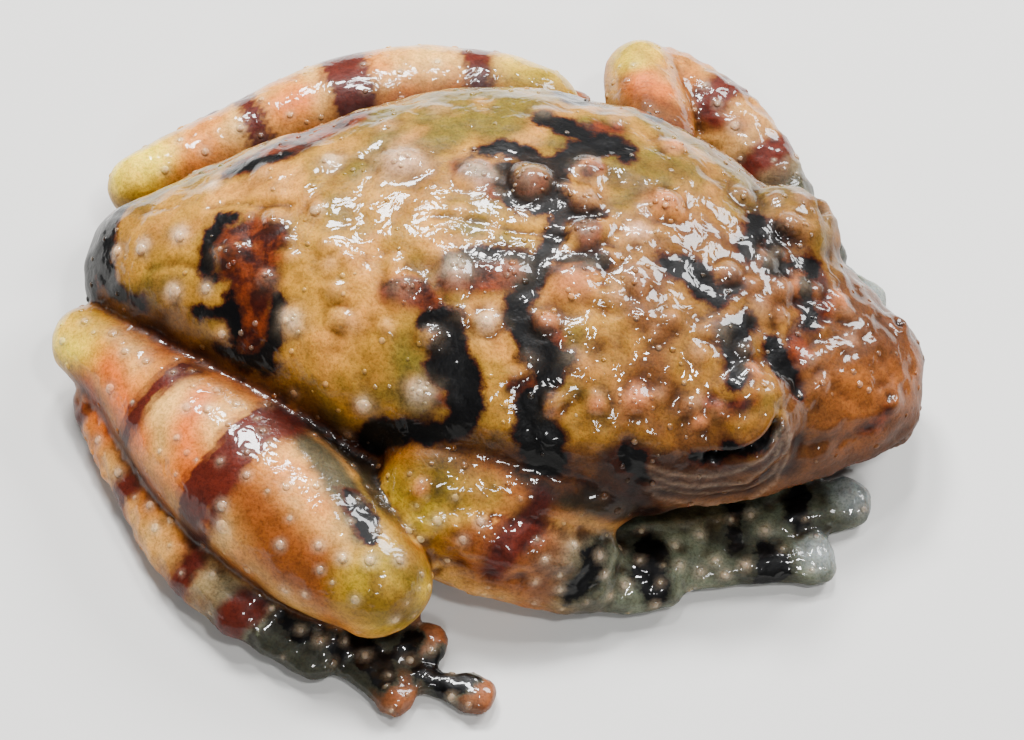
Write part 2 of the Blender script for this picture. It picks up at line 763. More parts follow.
push = np.zeros(count)
tints = {"whitish": np.zeros(count), "orange": np.zeros(count), "glassy": np.zeros(count)}
big_warts = []
for x, y, radius, kind in BACK_WARTS + CROWN_WARTS:
    place = np.array(skin_tree.ray_cast(Vector((x, y, ABOVE_ALL)), Vector((0, 0, -1)))[0])
    big_warts.append((place, radius, kind))
for spots, kind in ((CLEAR_WARTS, "clear"), (ORANGE_WARTS, "orange")):
    for x, y, radius in spots:
        if seen(x, y):
            big_warts.append((seen(x, y)[0], radius / VIEW_SCALE, kind))
for place, radius, kind in big_warts:
    away = np.linalg.norm(points - place, axis=1) / (radius * WART_ROOT)
    near = np.flatnonzero(away < WART_REACH)
    waves = np.array([noise.noise(Vector(points[i]) * WART_WAVES / radius) for i in near])
    away[near] *= 1 + WART_WARP * waves
    high, *shares = WART_KINDS[kind]
    dome = np.clip(1 - away**2, 0, 1) ** (FULL_DOME if kind in ("glass", "clear") else SOFT_DOME)
    moat = np.exp(-(((away - WART_MOAT_AWAY) / WART_MOAT_HALF) ** 2))
    push += radius * (high * dome - WART_MOAT * moat)
    for tint, share in zip(tints.values(), shares):
        np.maximum(tint, share * np.exp(-((away / WART_COLOUR) ** 2)), out=tint)
print("big warts:", len(big_warts), "highest", round(float(push.max()), 2), "mm")

# %% [markdown]
# The rest of the skin isn't even either. Three scales of noise raise soft lumps between the warts, more on
# the back than on the limbs, and leave the part that rests on the floor flat. The finest of them breaks
# the light on the wet skin into flecks, which bump in a material does less well at this size.

# %% Soft lumps
# Each layer of noise here and below is its strength, its size in millimetres and where it starts.
LUMPS = ((0.2, 2.8, 0.0), (0.1, 1.1, 0.0), (0.035, 0.5, 0.0))
CROWN_LUMPS = (0.08, 0.62, 12.0)
PAW_LUMPS = (0.12, 0.5, 9.0)
LIMB_LUMPS = 0.55
FLAT_BELOW = 0.8
# The crown's lumps begin on the shoulders, are highest on the snout and end before its tip.
CROWN_ABOVE = 4.5
CROWN_START = (-1, 4)
CROWN_END = (17.6, 1.5)
SNOUT_START = (12, 2)
SNOUT_MORE = 0.5


def uneven(*layers):
    """The sum of some layers of smooth noise at every point of the skin."""
    total = np.zeros(count)
    for strength, size, start in layers:
        shift = Vector((start, 0, 0))
        total += strength * np.array([noise.noise(Vector(point) / size + shift) for point in points])
    return total


def ramp(values, start, length):
    """0 before the start, 1 past the length and straight in between."""
    return np.clip((values - start) / length, 0, 1)


body = is_part("body")
paws = is_part("hand", "foot")
arm_and_tarsus = is_part("hand", "foot", "forearm", "tarsus")
off_floor = np.clip(points[:, 2] / FLAT_BELOW, 0, 1)
soft = np.where(body, 1.0, LIMB_LUMPS)
push += uneven(*LUMPS) * soft * off_floor
crown = np.where(body & (points[:, 2] > CROWN_ABOVE), ramp(points[:, 0], *CROWN_START), 0)
crown *= ramp(-points[:, 0], -CROWN_END[0], CROWN_END[1])
crown *= 1 + SNOUT_MORE * ramp(points[:, 0], *SNOUT_START)
push += uneven(CROWN_LUMPS) * crown + uneven(PAW_LUMPS) * arm_and_tarsus * off_floor
print("lumps up to", round(float(push.max()), 2), "mm on the big warts")

# %% [markdown]
# Folds and wrinkles are strokes too, each with a width and a height: the thin lids below the slit of the
# eye, the crease behind the jaw, the ridge from eye to nostril, and fine lines across the back.

# %% Folds and wrinkles
# Each row is the height of the fold in millimetres, then its line as pixels with a radius.
FOLDS = (
    (0.07, (642, 456, 9), (660, 474, 10), (700, 482, 10), (745, 476, 10), (782, 456, 9), (796, 430, 7)),
    (-0.07, (640, 480, 5), (668, 492, 6), (705, 497, 6), (752, 490, 6), (792, 468, 5), (804, 440, 4)),
    (-0.2, (628, 440, 9), (634, 462, 10), (640, 490, 9), (652, 512, 8)),
    (0.07, (797, 428, 9), (830, 424, 10), (868, 414, 8)),
    (-0.12, (800, 446, 8), (840, 440, 8), (880, 428, 7)),
    (0.12, (640, 404, 10), (660, 425, 10), (668, 448, 8)),
    (-0.14, (435, 216, 3), (455, 217, 3), (480, 221, 3), (508, 229, 3), (535, 232, 3), (560, 237, 3)),
    (-0.12, (210, 208, 3), (235, 200, 3), (262, 204, 3), (290, 203, 3)),
    (-0.1, (150, 268, 4), (175, 262, 4), (205, 270, 4)),
    (-0.1, (118, 215, 3), (140, 213, 4), (170, 208, 3)),
    (-0.1, (795, 300, 4), (820, 318, 4), (842, 322, 4)),
    (-0.08, (812, 345, 4), (835, 336, 4), (862, 338, 4)),
    (-0.1, (780, 418, 5), (792, 400, 6), (800, 385, 5)),
    (-0.09, (600, 505, 5), (640, 520, 5), (690, 528, 5)),
)
# Fine lines of the lower lid, side by side: the first one as pixels, the step between two and their number.
LID_LINE = ((650, 466), (674, 473), (705, 475), (742, 469), (770, 453), (784, 430), (788, 408))
LID_LINE_STEP = (1.2, 9.5)
LID_LINES = 4
LID_LINE_WIDE = 3.0
LID_LINE_HIGH = 0.08
LID_LINE_PALE = 0.13


def mirrored(spots):
    """The same places on the left side of the head."""
    turned = spots.copy()
    turned[:, :3] = np.array(EYE[LEFT]) + (spots[:, :3] - EYE[RIGHT]) * (1, -1, 1)
    return turned


def ridge(spots):
    """A smooth hump along a line on the body, 1 along its middle."""
    half = spots[:, 3].mean()
    return fade(stroke_depth(spots, body), -half, half)


lid_lines = []
for k in range(LID_LINES):
    across, down = k * LID_LINE_STEP[0], k * LID_LINE_STEP[1]
    lid_lines.append((LID_LINE_HIGH, *((x + across, y + down, LID_LINE_WIDE) for x, y in LID_LINE)))
for high, *line in (*FOLDS, *lid_lines):
    spots, _ = traced(line)
    if len(spots) == 0:
        continue
    fold = ridge(spots)
    if spots[:, 0].mean() > NECK_X:
        fold += ridge(mirrored(spots))
    push += high * fold
    if high == LID_LINE_HIGH:
        tints["whitish"] = np.maximum(tints["whitish"], LID_LINE_PALE * np.minimum(fold, 1) ** 2)
print("folds:", len(FOLDS), "and lines of the lower lid:", len(lid_lines))

# %% [markdown]
# The lids meet in a curved slit. The skin is pushed in along it until the eye itself shows at the bottom.
# The mouth is a fine line between two lips, all the way round the snout, and each nostril is a small pit.

# %% Slit, mouth and nostrils
# From the back corner of the slit to its front corner, in degrees round the eye.
SLIT_TURN = (-42, 56)
SLIT_RISE = (0, 38)
SLIT_DEEP = 0.85
SLIT_HALF = 0.17
LID_RIM_HIGH = 0.08
LID_RIM_AWAY = 0.42
LID_RIM_HALF = 0.18
# The mouth lies this many degrees below the widest line and ends just short of the snout's tip.
MOUTH_ANGLE = -14
MOUTH_START_X = 9.4
MOUTH_END_X = TRUNK[-1][0] - 0.2
MOUTH_DEEP = 0.3
MOUTH_HALF = 0.2
LIP_HIGH = 0.2
LIP_RISE = 0.36
LIP_HALF = 0.7 * LIP_RISE
NOSTRIL_DEEP = 0.5
NOSTRIL_HALF = 0.2


def on_lid(side, share):
    """A point on the closed lids, share of the way along the slit."""
    turn = math.radians(SLIT_TURN[0] + (SLIT_TURN[1] - SLIT_TURN[0]) * share)
    high = math.radians(SLIT_RISE[0] + (SLIT_RISE[1] - SLIT_RISE[0]) * share)
    way = (math.sin(turn) * math.cos(high), side * math.cos(turn) * math.cos(high), math.sin(high))
    return np.array(EYE[side]) + LID_RADIUS * np.array(way)


front = body & (points[:, 0] > NECK_X)


def away_from(places):
    """How far each point of the head's skin is from the nearest of some places."""
    far = np.full(count, -FAR_OUT)
    near = np.flatnonzero(front)
    far[near] = np.linalg.norm(points[near][:, None] - places[None], axis=2).min(axis=1)
    return far


def bell(away, half):
    return np.exp(-((away / half) ** 2))


ahead = MOUTH_START_X + (MOUTH_END_X - MOUTH_START_X) * np.sin(np.linspace(0, 1.5, 60))
round_snout = [(x, RIGHT) for x in ahead] + [(x, LEFT) for x in ahead[::-1]]
mouth_line = np.array([on_trunk(x, MOUTH_ANGLE, side) for x, side in round_snout])
push -= MOUTH_DEEP * bell(away_from(mouth_line), MOUTH_HALF)
for rise in (LIP_RISE, -LIP_RISE):
    push += LIP_HIGH * bell(away_from(mouth_line + (0, 0, rise)), LIP_HALF)
slit_away = np.full(count, -FAR_OUT)
nostril_away = np.full(count, -FAR_OUT)
for side, _ in SIDES:
    slit = np.array([on_lid(side, share) for share in np.linspace(0, 1, 50)])
    slit_away = np.minimum(slit_away, away_from(slit))
    pit = on_trunk(NOSTRIL_X, NOSTRIL_ANGLE, side) + (0, 0, NOSTRIL_RIM - NOSTRIL_SUNK)
    nostril_away = np.minimum(nostril_away, away_from(pit[None]))
push -= SLIT_DEEP * bell(slit_away, SLIT_HALF)
push += LID_RIM_HIGH * bell(slit_away - LID_RIM_AWAY, LID_RIM_HALF)
push -= NOSTRIL_DEEP * bell(nostril_away, NOSTRIL_HALF)
print("the skin moves by", round(float(push.min()), 2), "to", round(float(push.max()), 2), "mm")

# %% Move the skin and measure it
# Where the skin is this hollow, in millimetres below its neighbours' mean, it is a full crease.
CREASE_HOLLOW = 0.012
points = points + normals * push[:, None]
points[:, 2] = np.maximum(points[:, 2], 0.0)
points = smoothed(points, 1)
normals = normals_of(points)
hollow = ((averaged(points) - points) * normals).sum(axis=1)
crease = np.clip(smoothed(hollow, 3) / CREASE_HOLLOW, 0, 1)
skin_tree = BVHTree.FromPolygons(points.tolist(), faces)
print("skin height:", round(float(points[:, 2].max()), 2), "mm")

# %% [markdown]
# ## Markings
# The bars of the back are black with a rusty rim, and the legs carry maroon rings. Each marking is kept
# at the points of the skin as a depth in millimetres, above zero inside it. The material draws its edge
# from that depth with a little noise, so the edge is sharper than the mesh and ragged as on the animal.

# %% Strokes of the markings
# Each stroke is a line of pixels with a radius: the black bars of the body first.
DARK = (
    ((124, 206, 7), (110, 220, 12), (103, 238, 15), (100, 256, 15), (104, 274, 12), (112, 286, 8)),
    ((112, 286, 8), (124, 296, 4), (140, 303, 2)),
    ((94, 232, 10), (90, 250, 10), (94, 270, 10)),
    ((234, 217, 3), (220, 221, 5), (210, 234, 5), (206, 250, 4), (208, 266, 5), (216, 278, 3)),
    ((228, 296, 2), (232, 312, 4), (238, 330, 3), (234, 350, 5)),
    ((278, 300, 3), (276, 318, 4), (274, 338, 5), (266, 354, 6)),
    ((196, 313, 5), (212, 313, 5), (228, 312, 4)),
    ((222, 352, 5), (245, 361, 8), (272, 366, 4)),
    ((232, 170, 4), (250, 165, 5), (276, 158, 4), (292, 152, 3)),
    ((542, 120, 8), (562, 125, 11), (578, 134, 9)),
    ((575, 146, 9), (595, 148, 12), (614, 146, 13), (626, 156, 7)),
    (
        (578, 152, 9), (556, 164, 8), (535, 160, 6), (514, 149, 8), (500, 146, 9), (484, 152, 5),
        (468, 158, 4),
    ),
    (
        (556, 166, 8), (557, 182, 8), (556, 198, 6), (535, 207, 6), (515, 202, 5), (506, 190, 7),
        (505, 172, 7),
    ),
    ((562, 212, 7), (580, 218, 8), (596, 214, 5)),
    ((560, 205, 6), (556, 228, 5), (552, 246, 6), (540, 262, 8)),
    ((560, 258, 5), (580, 257, 5), (600, 262, 4)),
    (
        (452, 258, 4), (470, 255, 5), (495, 253, 5), (524, 257, 5), (534, 266, 6), (530, 284, 7),
        (520, 302, 9),
    ),
    ((428, 318, 8), (440, 322, 9), (452, 318, 8)),
    ((450, 320, 9), (451, 336, 11), (449, 350, 15), (450, 366, 20), (460, 384, 16), (466, 402, 13)),
    ((466, 402, 13), (464, 420, 13), (448, 433, 12), (424, 438, 14), (398, 438, 19), (376, 442, 17)),
    ((376, 450, 14), (396, 456, 14)),
    ((516, 314, 10), (522, 328, 10), (532, 342, 11), (545, 358, 15), (562, 360, 9)),
    ((548, 374, 12), (542, 390, 7), (530, 400, 12), (530, 418, 13), (540, 440, 20), (541, 464, 20)),
    ((541, 464, 20), (548, 488, 20), (568, 504, 14), (592, 514, 9)),
    ((758, 222, 11), (752, 240, 12), (748, 256, 8)),
    ((772, 230, 9), (778, 250, 9), (770, 270, 8), (800, 262, 8), (814, 270, 7)),
    ((668, 266, 8), (690, 270, 11), (704, 286, 12), (716, 298, 8)),
    ((724, 288, 8), (736, 288, 6)),
    ((748, 322, 7), (730, 336, 12), (735, 354, 13), (738, 370, 9), (734, 384, 5)),
    ((772, 344, 7), (780, 362, 9), (789, 378, 9), (795, 392, 4)),
    ((800, 326, 6), (812, 322, 6), (808, 300, 5), (806, 282, 5)),
    ((624, 451, 8), (634, 461, 9), (642, 474, 6)),
    ((695, 457, 4), (715, 453, 6), (745, 448, 7), (768, 438, 6), (778, 430, 3)),
)
# The rusty patches beside the bars.
RUST = (
    ((226, 236, 17), (250, 232, 21), (272, 236, 19)),
    ((230, 262, 20), (260, 262, 24), (252, 290, 27), (252, 318, 25), (250, 344, 20)),
    ((454, 276, 18), (482, 276, 21), (510, 276, 18)),
    ((392, 288, 13), (410, 292, 17), (428, 306, 14)),
    ((460, 166, 13), (480, 166, 15), (494, 178, 13), (494, 192, 10)),
    ((552, 336, 14), (540, 330, 10)),
    ((512, 386, 9), (528, 386, 11)),
    ((440, 398, 11), (450, 402, 8)),
    ((552, 412, 9), (560, 430, 9)),
    ((575, 212, 14), (592, 228, 14), (590, 250, 12)),
    ((540, 280, 8), (560, 268, 8), (590, 266, 8)),
    ((526, 184, 16), (540, 184, 14)),
    ((794, 340, 12), (800, 354, 12)),
    ((820, 275, 8), (826, 298, 9), (820, 318, 9)),
    ((234, 168, 16), (262, 156, 22), (292, 144, 26), (320, 131, 28), (346, 119, 22)),
    ((712, 402, 8), (742, 406, 9), (756, 400, 6)),
    ((600, 128, 11), (586, 131, 8), (616, 130, 8)),
    ((586, 172, 9), (600, 166, 8)),
    ((734, 276, 8), (728, 282, 8)),
    ((888, 410, 9), (880, 420, 8), (865, 428, 6)),
)
# On the left flank, which the view hides: x, degrees above the widest line, and radius in millimetres.
FLANK_DARK = (
    ((-11.5, 20, 0.5), (-9.5, 5, 0.7), (-8.0, -12, 0.6)),
    ((1.6, 40, 0.5), (0.8, 22, 0.6), (1.6, 4, 0.7), (0.6, -14, 0.6)),
    ((4.6, 34, 0.5), (5.2, 14, 0.6), (4.4, -6, 0.5)),
    ((-3.2, 18, 0.4), (-2.4, 4, 0.6), (-3.6, -10, 0.5)),
)

# %% Rings of the legs and arms
# The pixel of each ring's middle and its half width along the limb in millimetres.
RINGS = (
    (172, 376, 0.42),
    (250, 440, 0.95),
    (90, 408, 0.5),
    (128, 486, 0.62),
    (197, 560, 0.55),
    (252, 603, 0.5),
    (352, 655, 0.9),
    (255, 112, 0.55),
    (345, 72, 1.0),
    (480, 72, 0.7),
    (714, 94, 0.85),
    (776, 146, 0.6),
)
# Rings that the view hides: the limb, the share of its length and the half width in millimetres.
HIDDEN_RINGS = (
    ("tarsus_left", 0.28, 0.45),
    ("tarsus_left", 0.66, 0.6),
)
# Black spots of the left hand and foot, which the view hides: x, y, z and radius in millimetres.
HIDDEN_BLACK = (
    (-5.6, 13.4, 1.4, 0.7),
    (-3.0, 14.0, 0.9, 0.5),
    (-1.4, 12.8, 0.8, 0.5),
    (11.7, 7.7, 1.4, 0.6),
    (13.4, 5.9, 1.0, 0.5),
    (12.8, 4.8, 1.0, 0.45),
)
# Black stripes and spots of the right hand, forearm and foot.
BLACK_STRIPES = (
    ((652, 545, 13), (648, 570, 14), (655, 592, 12)),
    ((768, 550, 12), (776, 568, 16), (766, 584, 11)),
    ((735, 510, 8), (733, 528, 9), (735, 543, 7)),
    ((797, 496, 11), (797, 515, 12)),
    ((356, 642, 10), (372, 656, 15), (384, 676, 12)),
    ((436, 664, 12), (452, 674, 13), (466, 682, 8)),
    ((284, 614, 8), (300, 634, 10)),
    ((326, 640, 8), (338, 656, 10)),
    ((410, 640, 10), (404, 654, 10)),
    ((598, 540, 7), (590, 570, 8), (575, 594, 8)),
    ((422, 672, 8), (440, 684, 12), (462, 680, 12)),
)
# The dark end of the wet patch on the right shank, beside the elbow.
WET_GAP = (((350, 494, 5), (358, 508, 8), (366, 522, 8), (372, 536, 5)),)
# The maroon bars that aren't plain rings.
MAROON = (
    ((205, 370, 8), (178, 375, 8), (156, 386, 9), (142, 402, 9), (134, 425, 9)),
    ((300, 430, 9), (268, 432, 15), (240, 445, 20), (225, 470, 20), (216, 500, 15), (212, 522, 10)),
    ((544, 494, 12), (538, 512, 17), (522, 532, 20), (504, 552, 18), (494, 570, 12)),
    ((684, 92, 8), (700, 100, 12), (712, 120, 11)),
)


def ring_places():
    """Each ring as its limb, the millimetres along it and the half width."""
    for x, y, half in RINGS:
        hit = seen(x, y)
        name = part_names[part_of[faces[hit[1]][0]]] if hit else ""
        if name in paths and not name.startswith(("hand", "foot")):
            yield name, along_limb(name, hit[0][None])[0], half
    for name, share, half in HIDDEN_RINGS:
        yield name, share * along[part_of == part_names.index(name)].max(), half


def rings_depth():
    """How deep each point lies inside a ring, in millimetres along the limb."""
    depth = np.full(count, FAR_OUT)
    for name, middle, half in ring_places():
        mine = part_of == part_names.index(name)
        depth[mine] = np.maximum(depth[mine], half - np.abs(along[mine] - middle))
    return depth


def flank(rows):
    """Close round spots along a bar of the left flank."""
    places = [(*on_trunk(x, degrees, LEFT), radius) for x, degrees, radius in rows]
    return smooth_rows(places, 30)


# %% Depths of the markings
DARK_GROW = 0.06
# Slow noise swings the edge of each marking to and fro.
DARK_SWING = (0.28, 0.9, 40.0)
RUST_SWING = (0.28, 1.2, 60.0)
MAROON_SWING = (0.28, 1.1, 80.0)
# How far the rust of the rear blotch hides the white of the warts on it.
RUST_HIDES = 0.8
WAIST_X = -5.0
# The very end of the body round the vent is black too.
RUMP_DARK_X = -16.85
# Depths are cut off this far outside a marking, and evened near the border of two parts.
NOT_IN = -1.0
BORDER_ROUNDS = 6
BORDER_LEAST = 0.005
border = np.zeros(count)
border[edges[part_of[edges[:, 0]] != part_of[edges[:, 1]]].ravel()] = 1.0
border = smoothed(border, BORDER_ROUNDS) > BORDER_LEAST


def softened(depth):
    """Limits the depth far outside and evens it where two parts meet, so that no steps show there."""
    depth = np.maximum(depth, NOT_IN)
    return np.where(border, smoothed(depth, 2 * BORDER_ROUNDS), depth)


stripes = np.maximum(drawn(BLACK_STRIPES, arm_and_tarsus), drawn(WET_GAP))
for row in HIDDEN_BLACK:
    stripes = np.maximum(stripes, stroke_depth(np.array([row]), is_part("hand_left", "foot_left")))
dark = np.where(body, drawn(DARK), stripes)
for rows in FLANK_DARK:
    dark = np.maximum(dark, stroke_depth(flank(rows), body))
dark = np.where(body, np.maximum(dark, RUMP_DARK_X - points[:, 0]), dark)
dark = softened(dark) + DARK_GROW + uneven(DARK_SWING)
rust = softened(drawn(RUST)) + uneven(RUST_SWING)
tints["whitish"] *= 1 - RUST_HIDES * (points[:, 0] < WAIST_X) * np.clip(0.5 + 2 * rust, 0, 1)
maroon = softened(np.maximum(drawn(MAROON), rings_depth())) + uneven(MAROON_SWING)
for word, depth in (("black", dark), ("rusty", rust), ("maroon", maroon)):
    print("share of skin that is", word, round(float((depth > 0).mean()), 3))

# %% [markdown]
# Softer colours have no edge: yellow heels, knees and elbows, glassy grey hands and feet, an orange
# snout, salmon legs and a pale belly. Each is a share from 0 to 1 that fades over a few millimetres.

# %% Yellow joints and grey hands
# The pixel of each yellow joint, its reach in millimetres and how green it is.
YELLOW = (
    (72, 328, 2.6, 0.0),
    (132, 165, 2.6, 0.0),
    (402, 590, 3.3, 0.95),
    (548, 85, 3.2, 0.55),
    (406, 494, 2.7, 0.6),
    (446, 482, 2.1, 0.95),
    (478, 490, 1.2, 0.9),
    (634, 50, 1.7, 0.5),
)
# The yellow is full up to this share of its reach.
YELLOW_FULL = 0.35
YELLOW_LEAST = 0.85
YELLOW_UNEVEN = (0.45, 1.3, 90.0)
GREEN_UNEVEN = (0.5, 0.9, 95.0)
# Where along forearm and tarsus the grey begins and is full, as shares of their length.
GREY_ALONG = (0.5, 1.05)

yellow = np.zeros(count)
green = np.zeros(count)
for x, y, reach, share in YELLOW:
    hit = seen(x, y)
    if hit:
        far = np.linalg.norm(points - hit[0], axis=1)
        near = (1 - fade(far, YELLOW_FULL * reach, reach)) * ~body
        yellow = np.maximum(yellow, near)
        green = np.maximum(green, near * share)
yellow = smoothed(yellow * np.clip(YELLOW_LEAST + uneven(YELLOW_UNEVEN), 0, 1), 3)
green = smoothed(np.clip(green * (1 + uneven(GREEN_UNEVEN)), 0, 1), 3)
grey = np.where(paws, 1.0, 0.0)
for name in ("forearm_right", "forearm_left", "tarsus_right", "tarsus_left"):
    mine = part_of == part_names.index(name)
    grey[mine] = fade(along[mine], *(share * along[mine].max() for share in GREY_ALONG))
print("share of skin that is yellow:", round(float((yellow > 0.5).mean()), 3))

# %% [markdown]
# Shade, amber and ember are drawn as the bars are, but fade slowly. Shade is the dark skin under the eye
# and beside the elbow, amber the browner stretches of arms and legs, and ember their orange sides.

# %% Strokes of the soft colours
SHADE = (
    ((288, 424, 10), (312, 448, 17), (336, 474, 20), (352, 504, 20), (360, 530, 12)),
    ((306, 424, 10), (340, 448, 16), (366, 474, 18), (384, 504, 14)),
    ((612, 462, 14), (640, 480, 18), (690, 490, 16), (745, 486, 14), (792, 466, 10)),
    ((640, 455, 10), (700, 474, 12), (760, 466, 12), (795, 440, 8)),
    ((590, 500, 16), (650, 512, 18), (720, 516, 14)),
    ((600, 505, 12), (560, 500, 10), (520, 470, 8)),
)
AMBER = (
    ((250, 500, 22), (290, 560, 30), (340, 590, 34), (390, 620, 24)),
    ((470, 500, 16), (520, 540, 30), (560, 566, 28), (610, 578, 20)),
    ((430, 540, 14), (480, 570, 18), (540, 590, 14)),
    ((444, 532, 12), (474, 542, 22), (500, 560, 20)),
    ((622, 60, 10), (630, 84, 16), (650, 96, 16), (680, 112, 12), (740, 124, 12)),
    ((85, 390, 8), (110, 440, 8), (150, 500, 8)),
)
EMBER = (
    ((96, 350, 12), (112, 376, 16), (126, 412, 16), (140, 440, 12)),
    ((200, 396, 9), (184, 430, 12), (190, 480, 14), (200, 516, 12)),
    ((150, 182, 7), (176, 170, 6)),
    ((286, 104, 7), (300, 98, 8)),
    ((84, 372, 8), (94, 400, 9), (104, 430, 8)),
    ((640, 80, 8), (664, 90, 8)),
)
# What the view hides: the shade of the low flanks, and the amber of the left arm.
UNDER_SHADE = 0.85
UNDER_HIGH = (2.0, 5.2)
UNDER_UNEVEN = (0.8, 1.6, 24.0)
UNDER_FACING = (0.2, 0.7)
LEFT_ARM_AMBER = 0.5
# The depth in a stroke where each colour begins and where it is full.
EMBER_FADE = (-0.8, 0.5)
SHADE_FADE = (-0.45, 0.35)
SHADE_UNEVEN = (0.2, 0.8, 20.0)
AMBER_FADE = (-1.1, 0.7)

ember = fade(drawn(EMBER), *EMBER_FADE)
shade = fade(drawn(SHADE) + uneven(SHADE_UNEVEN), *SHADE_FADE)
under = 1 - fade(points[:, 2] + uneven(UNDER_UNEVEN), *UNDER_HIGH)
under *= 1 - fade(normals[:, 2], *UNDER_FACING)
shade = np.maximum(shade, UNDER_SHADE * smoothed(np.where(body, under, 0.0), 4))
left_arm = is_part("upper_arm_left", "forearm_left").astype(float)
amber = np.maximum(fade(drawn(AMBER), *AMBER_FADE), LEFT_ARM_AMBER * smoothed(left_arm, 4))
print("share of skin in shade:", round(float((shade > 0.5).mean()), 3))

# %% [markdown]
# Where a limb presses on the body the skin is dark, because little light gets in. Brown gathers on the
# flanks and the sides of the head, and in patches between the warts.

# %% Seams, brown flanks, snout and belly
# The seam fades over this many millimetres from the other part, below a height, and less on some parts.
SEAM_REACH = (0.2, 2.2)
SEAM_BELOW = 7.5
PAW_SEAM = 0.35
TARSUS_SEAM = 0.6
LIMB_WORDS = ("thigh", "shank", "tarsus", "foot", "upper_arm", "forearm", "hand")
BESIDE_SHANK = ("tarsus", "forearm", "foot")
BROWN_SHARE = 0.8
BROWN_MOST = 0.95
BROWN_PATCHES = ((0.5, 2.4, 30.0), (0.45, 1.0, 33.0))
# From where to where each colour fades in: along the body, across it or upwards.
SNOUT_X = (10.5, 15.5)
HEAD_X = (1.0, 8.0)
FAR_SIDE_Y = (0.5, 6.0)
FLANK_Z = (3.0, 8.8)
BELLY_Z = (1.2, 3.6)

seam = np.zeros(count)
for words, others in ((("body",), LIMB_WORDS), (LIMB_WORDS, ("body",)), (("shank",), BESIDE_SHANK)):
    beside = np.flatnonzero(is_part(*others))
    tree = KDTree(len(beside))
    for index in beside:
        tree.insert(points[index], int(index))
    tree.balance()
    mine = np.flatnonzero(is_part(*words) & (points[:, 2] < SEAM_BELOW))
    far = np.array([tree.find(points[index])[2] for index in mine])
    seam[mine] = np.maximum(seam[mine], 1 - fade(far, *SEAM_REACH))
seam = smoothed(seam * np.where(paws, PAW_SEAM, np.where(is_part("tarsus"), TARSUS_SEAM, 1.0)), 3)
along_body, across_body, upwards = points.T
snout = np.where(body, fade(along_body, *SNOUT_X), 0.0)
far_side = fade(across_body, *FAR_SIDE_Y)
flanks = 1 - fade(upwards, *FLANK_Z)
head = fade(along_body, *HEAD_X) * (1 - 0.5 * far_side)
brown = np.clip(BROWN_SHARE * (flanks + head) + uneven(*BROWN_PATCHES), 0, BROWN_MOST)
belly = np.where(body, 1 - fade(upwards, *BELLY_Z), 0.0)
print("mean brown:", round(float(brown[body].mean()), 2))

# %% [markdown]
# The discs of fingers and toes are clear and pale, and those of the right foot are pink. The wet film lies
# on what faces up. Below, where only the floor would show in it, the skin is duller.

# %% Discs and the wet film
DISC_PALE = 0.75
DISC_PINK = 0.34
DISC_REACH = (0.3, 1.4)
# How far from its middle line the slit shows black.
SLIT_REACH = (0.1, 0.3)
# The share of film on sides and undersides, and the upward part of the normal where the film sets in.
BODY_FILM = 0.05
LIMB_FILM = 0.2
FILM_FACING = (0.3, 0.75)
# Towards a seam the film of hands and feet thins out to its least share.
PAW_FILM_THINS = 2.5
PAW_FILM_LEAST = 0.05

disc = np.zeros(count)
for x, y in (tip for sides in TIPS.values() for tips in sides for tip in tips):
    far = np.linalg.norm(points[:, :2] - (x, y), axis=1)
    disc = np.maximum(disc, np.where(paws, 1 - fade(far, *DISC_REACH), 0.0))
tints["orange"] = np.maximum(tints["orange"], DISC_PINK * disc * is_part("foot"))
facing = fade(normals[:, 2], *FILM_FACING)
wet = smoothed(np.where(body, BODY_FILM, LIMB_FILM) * (1 - facing) + facing, 3)
wet *= np.where(paws, np.clip(1 - PAW_FILM_THINS * seam, PAW_FILM_LEAST, 1), 1)
slit_share = 1 - fade(slit_away, *SLIT_REACH)
wet = np.maximum(wet, slit_share)
print("share of skin that is wet:", round(float(wet.mean()), 2))

# %% [markdown]
# All these values are kept on the skin's points as attributes. A material reads them by name, so the same
# shader serves the skin and the beads on it, and nothing slides when the view turns.

# %% Keep the values on the skin
NOSTRIL_DARK = 0.75
NOSTRIL_REACH = (0.08, 0.3)
LOW_Z = (0.2, 2.4)
# Slow swells change the ground colour from olive to ochre, and a drift changes it from there to tan.
SWELL = ((0.5, 3.2, 5.0), (0.25, 1.3, 7.0))
DRIFT = ((0.5, 2.2, 15.0), (0.25, 0.9, 17.0))
SWELL_FAR_SIDE = 0.3
DRIFT_FOOT = 0.5


def keep(target, name, values):
    """Keeps a value for each point on a mesh, where a material can read it by name."""
    attribute = target.attributes.get(name) or target.attributes.new(name, "FLOAT", "POINT")
    attribute.data.foreach_set("value", np.ascontiguousarray(values, np.float32))


SKIN_VALUES = {
    "dark": dark,
    "rust": rust,
    "maroon": maroon,
    "yellow": yellow,
    "green": green,
    "limb": smoothed(np.where(body, 0.0, 1.0), 3),
    "grey": smoothed(grey, 6),
    "snout": snout,
    "belly": belly,
    "seam": seam,
    "low": smoothed(np.where(paws, 0.0, 1 - fade(upwards, *LOW_Z)), 3),
    "crease": crease,
    "slit": np.maximum(slit_share, NOSTRIL_DARK * (1 - fade(nostril_away, *NOSTRIL_REACH))),
    "disc": DISC_PALE * disc * is_part("hand"),
    "shade": shade,
    "brown": brown,
    "amber": amber,
    "ember": ember,
    "wet": wet,
    "swell": 0.5 + uneven(*SWELL) - SWELL_FAR_SIDE * far_side,
    "drift": 0.5 + uneven(*DRIFT) - DRIFT_FOOT * is_part("foot"),
    **tints,
}
for name, values in SKIN_VALUES.items():
    keep(mesh, name, values)
mesh.vertices.foreach_set("co", placed(points).ravel())
mesh.update()
mesh.shade_smooth()
print("values on the skin:", ", ".join(SKIN_VALUES))

